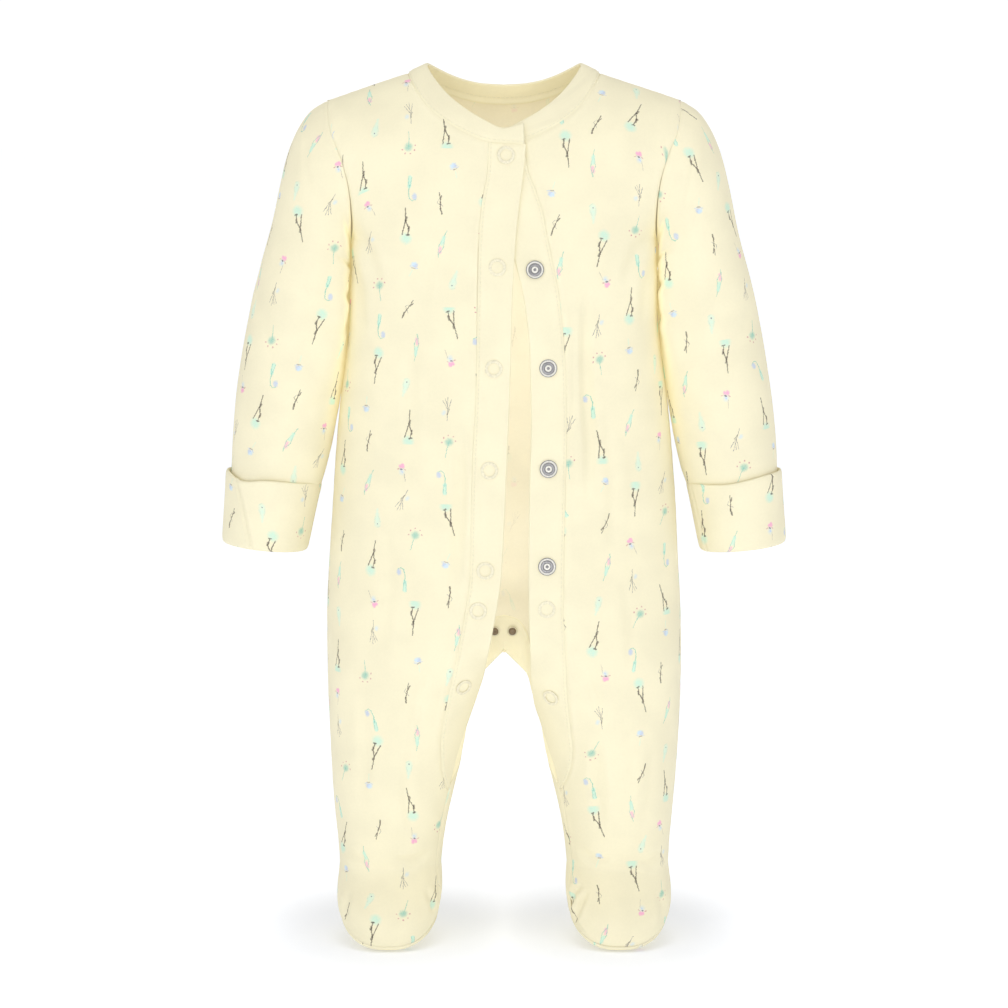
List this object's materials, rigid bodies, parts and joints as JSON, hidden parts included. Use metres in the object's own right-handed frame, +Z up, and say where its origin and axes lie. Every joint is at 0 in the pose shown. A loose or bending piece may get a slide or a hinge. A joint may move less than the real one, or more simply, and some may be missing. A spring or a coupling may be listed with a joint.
{
  "type": "footed baby sleepsuit",
  "caption": "Hollow footed baby sleepsuit, filled out with no wearer: long sleeves with turned-back cuffs, round neck, press-fastened front part open to the inner legs.",
  "frame": {"origin": "between the shoulders, level with the tops of the shoulder seams, where the wearer holds it up", "axes": "+Z up, front faces -Y, the wearer's left is +X"},
  "size_m": [0.3384, 0.1077, 0.5257],
  "materials": {
    "printed_jersey": "soft cotton jersey with a small printed flower pattern",
    "plain_jersey": "soft plain cotton jersey",
    "cuff_jersey": "soft cotton jersey with the same print, folded double",
    "snap_metal": "dull grey metal"
  },
  "bodies": {
    "root": {"front_right": "printed_jersey", "front_left": "printed_jersey", "back": "printed_jersey", "sleeve_right": "printed_jersey", "sleeve_left": "printed_jersey", "sole_right": "printed_jersey", "sole_left": "printed_jersey", "cuff_right": "cuff_jersey", "cuff_left": "cuff_jersey", "neck_binding": "plain_jersey", "placket_band_right": "plain_jersey", "placket_band_left": "plain_jersey", "crotch_band_back": "plain_jersey", "snap_ring_1": "plain_jersey", "snap_ring_2": "plain_jersey", "snap_ring_3": "plain_jersey", "snap_ring_4": "plain_jersey", "snap_ring_5": "plain_jersey", "snap_ring_6": "plain_jersey", "snap_ring_7": "plain_jersey", "snap_ring_8": "plain_jersey", "snap_ring_9": "plain_jersey", "snap_socket_1": "snap_metal", "snap_socket_2": "snap_metal", "snap_socket_3": "snap_metal", "snap_socket_4": "snap_metal", "snap_stud_1": "snap_metal", "snap_stud_2": "snap_metal"}
  },
  "joints": []
}
